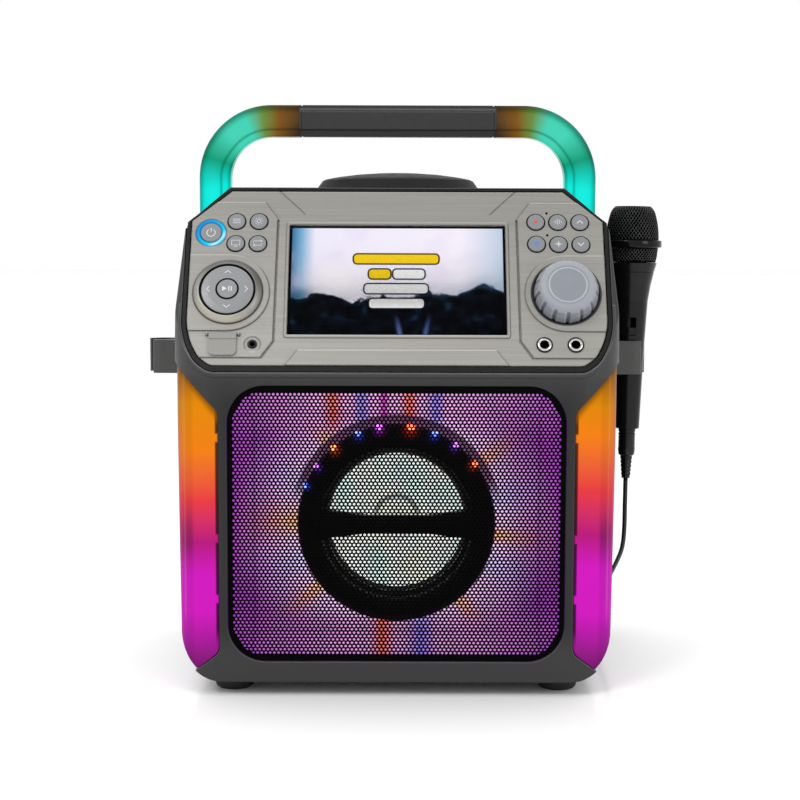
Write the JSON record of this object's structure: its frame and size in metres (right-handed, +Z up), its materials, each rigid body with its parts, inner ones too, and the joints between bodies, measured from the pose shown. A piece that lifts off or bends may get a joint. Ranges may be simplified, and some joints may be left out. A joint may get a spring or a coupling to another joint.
{
  "type": "karaoke machine",
  "caption": "Upright portable karaoke machine with a sloped control panel and screen, lit speaker grille, side lamps and handle, a lidded disc well and a microphone in a side clip.",
  "frame": {"origin": "on the surface the machine stands on, under the middle of its box, cord left out", "axes": "+Z up, the speaker and control panel face -Y, +X is the viewer's right, where the microphone hangs"},
  "size_m": [0.3986, 0.3167, 0.4242],
  "materials": {
    "cabinet_plastic": "fine moulded texture, anthracite",
    "bezel_plastic": "satin black",
    "panel_finish": "brushed warm silver",
    "screen_window": "clear gloss",
    "lcd": "lit display",
    "key_plastic": "satin grey",
    "power_ring": "lit ring",
    "knob_plastic": "satin grey",
    "inner_black": "plain black",
    "circuit_board": "solder resist",
    "jack_metal": "bright",
    "steel": "plain",
    "grille_steel": "black powder coat",
    "light_pan": "lit from the ring",
    "trim_black": "satin black",
    "cone_paper": "coated paper",
    "woofer_metal": "black",
    "side_lamp": "translucent, lit amber to magenta",
    "handle_light": "translucent, lit green to amber",
    "grip_rubber": "fine texture",
    "lid_plastic": "satin anthracite",
    "clip_plastic": "satin dark grey",
    "mic_enamel": "satin black",
    "mic_mesh": "woven wire, black",
    "switch_plastic": "satin",
    "port_rubber": "translucent",
    "cord_rubber": "satin black",
    "battery_wrap": "heat-shrunk wrap",
    "foot_rubber": "matte"
  },
  "bodies": {
    "cabinet": {"front_cabinet": "cabinet_plastic", "rear_cabinet": "cabinet_plastic", "panel_bezel": "bezel_plastic", "control_panel": "panel_finish", "screen_window": "screen_window", "lcd_module": "lcd", "power_light_ring": "power_ring", "volume_encoder": "inner_black", "disc_tray": "inner_black", "mechanism_chassis": "inner_black", "rear_jack_plate": "inner_black", "key_board": "circuit_board", "main_board": "circuit_board", "led_boards": "circuit_board", "input_jacks": "jack_metal", "usb_port": "jack_metal", "housing_screws": "steel", "drive_motors": "steel", "speaker_grille": "grille_steel", "light_pan": "light_pan", "speaker_trim_ring": "trim_black", "woofer_frame": "woofer_metal", "side_lamp_left": "side_lamp", "side_lamp_right": "side_lamp", "handle_light_left": "handle_light", "handle_light_right": "handle_light", "handle_grip": "grip_rubber", "mic_clip_left": "clip_plastic", "mic_clip_right": "clip_plastic", "mic_cord": "cord_rubber", "cord_coil": "cord_rubber", "mic_plug": "cord_rubber", "battery_pack": "battery_wrap", "feet": "foot_rubber"},
    "lid": {"disc_lid": "lid_plastic"},
    "turntable": {"turntable_hub": "inner_black"},
    "sled": {"pickup_sled": "inner_black"},
    "screw": {"lead_screw": "steel"},
    "knob": {"volume_knob": "knob_plastic"},
    "power_key": {"power_button": "key_plastic"},
    "play_key": {"play_button": "key_plastic"},
    "dpad_gimbal": {"dpad_pivot": "inner_black"},
    "dpad_rocker": {"dpad": "key_plastic"},
    "cone": {"woofer_cone": "cone_paper"},
    "port_cap": {"port_cover": "port_rubber"},
    "microphone": {"mic_body": "mic_enamel", "mic_head": "mic_mesh", "mic_connector": "mic_enamel"},
    "mic_slider": {"mic_switch": "switch_plastic"},
    "key_function_cap": {"key_function": "key_plastic"},
    "key_lights_cap": {"key_lights": "key_plastic"},
    "key_monitor_cap": {"key_monitor": "key_plastic"},
    "key_repeat_cap": {"key_repeat": "key_plastic"},
    "key_record_cap": {"key_record": "key_plastic"},
    "key_voice_cap": {"key_voice": "key_plastic"},
    "key_mic_up_cap": {"key_mic_up": "key_plastic"},
    "key_wireless_cap": {"key_wireless": "key_plastic"},
    "key_effects_cap": {"key_effects": "key_plastic"},
    "key_mic_down_cap": {"key_mic_down": "key_plastic"}
  },
  "joints": [
    {"name": "lid_hinge", "type": "hinge", "parent": "cabinet", "child": "lid", "pos_m": [-0.00535, 0.10785, 0.3672], "axis": [-1, 0, 0], "range_deg": [0, 75]},
    {"name": "turntable_spin", "type": "hinge", "parent": "cabinet", "child": "turntable", "pos_m": [-0.00535, 0.04425, 0.3492], "axis": [0, 0, 1], "continuous": true},
    {"name": "sled_slide", "type": "slide", "parent": "cabinet", "child": "sled", "axis": [1, 0, 0], "range_m": [0, 0.033]},
    {"name": "screw_spin", "type": "hinge", "parent": "cabinet", "child": "screw", "pos_m": [0.03465, 0.07025, 0.3358], "axis": [1, 0, 0], "range_deg": [0, 2970]},
    {"name": "volume_turn", "type": "hinge", "parent": "cabinet", "child": "knob", "pos_m": [0.11555, -0.08951, 0.2868], "axis": [0, -0.891, 0.454], "continuous": true},
    {"name": "power_press", "type": "slide", "parent": "cabinet", "child": "power_key", "axis": [0, 0.891, -0.454], "range_m": [0, 0.0006], "stiffness_N_per_m": 400, "springref_m": -0.0005},
    {"name": "play_press", "type": "slide", "parent": "cabinet", "child": "play_key", "axis": [0, 0.891, -0.454], "range_m": [0, 0.0006], "stiffness_N_per_m": 400, "springref_m": -0.0005},
    {"name": "function_press", "type": "slide", "parent": "cabinet", "child": "key_function_cap", "axis": [0, 0.891, -0.454], "range_m": [0, 0.0006], "stiffness_N_per_m": 400, "springref_m": -0.0005},
    {"name": "lights_press", "type": "slide", "parent": "cabinet", "child": "key_lights_cap", "axis": [0, 0.891, -0.454], "range_m": [0, 0.0006], "stiffness_N_per_m": 400, "springref_m": -0.0005},
    {"name": "monitor_press", "type": "slide", "parent": "cabinet", "child": "key_monitor_cap", "axis": [0, 0.891, -0.454], "range_m": [0, 0.0006], "stiffness_N_per_m": 400, "springref_m": -0.0005},
    {"name": "repeat_press", "type": "slide", "parent": "cabinet", "child": "key_repeat_cap", "axis": [0, 0.891, -0.454], "range_m": [0, 0.0006], "stiffness_N_per_m": 400, "springref_m": -0.0005},
    {"name": "record_press", "type": "slide", "parent": "cabinet", "child": "key_record_cap", "axis": [0, 0.891, -0.454], "range_m": [0, 0.0006], "stiffness_N_per_m": 400, "springref_m": -0.0005},
    {"name": "voice_press", "type": "slide", "parent": "cabinet", "child": "key_voice_cap", "axis": [0, 0.891, -0.454], "range_m": [0, 0.0006], "stiffness_N_per_m": 400, "springref_m": -0.0005},
    {"name": "mic_up_press", "type": "slide", "parent": "cabinet", "child": "key_mic_up_cap", "axis": [0, 0.891, -0.454], "range_m": [0, 0.0006], "stiffness_N_per_m": 400, "springref_m": -0.0005},
    {"name": "wireless_press", "type": "slide", "parent": "cabinet", "child": "key_wireless_cap", "axis": [0, 0.891, -0.454], "range_m": [0, 0.0006], "stiffness_N_per_m": 400, "springref_m": -0.0005},
    {"name": "effects_press", "type": "slide", "parent": "cabinet", "child": "key_effects_cap", "axis": [0, 0.891, -0.454], "range_m": [0, 0.0006], "stiffness_N_per_m": 400, "springref_m": -0.0005},
    {"name": "mic_down_press", "type": "slide", "parent": "cabinet", "child": "key_mic_down_cap", "axis": [0, 0.891, -0.454], "range_m": [0, 0.0006], "stiffness_N_per_m": 400, "springref_m": -0.0005},
    {"name": "dpad_up_down", "type": "hinge", "parent": "cabinet", "child": "dpad_gimbal", "pos_m": [-0.12645, -0.08411, 0.28417], "axis": [1, 0, 0], "range_deg": [-2.2, 2.2], "stiffness_Nm_per_rad": 0.5},
    {"name": "dpad_left_right", "type": "hinge", "parent": "dpad_gimbal", "child": "dpad_rocker", "pos_m": [-0.12645, -0.08411, 0.28417], "axis": [0, 0.454, 0.891], "range_deg": [-2.2, 2.2], "stiffness_Nm_per_rad": 0.5},
    {"name": "cone_stroke", "type": "slide", "parent": "cabinet", "child": "cone", "axis": [0, -1, 0], "range_m": [-0.002, 0.002], "stiffness_N_per_m": 1500},
    {"name": "port_cover_hinge", "type": "hinge", "parent": "cabinet", "child": "port_cap", "pos_m": [-0.12875, -0.10613, 0.25857], "axis": [-1, 0, 0], "range_deg": [0, 105]},
    {"name": "mic_lift", "type": "slide", "parent": "cabinet", "child": "microphone", "axis": [0.0113, 0, 0.9999], "range_m": [0, 0.05]},
    {"name": "mic_switch_slide", "type": "slide", "parent": "microphone", "child": "mic_slider", "axis": [0.0113, 0, 0.9999], "range_m": [0, 0.006]}
  ],
  "couplings": [
    {"joint": "screw_spin", "follows": "sled_slide", "rad_per_m": 1570.8}
  ]
}
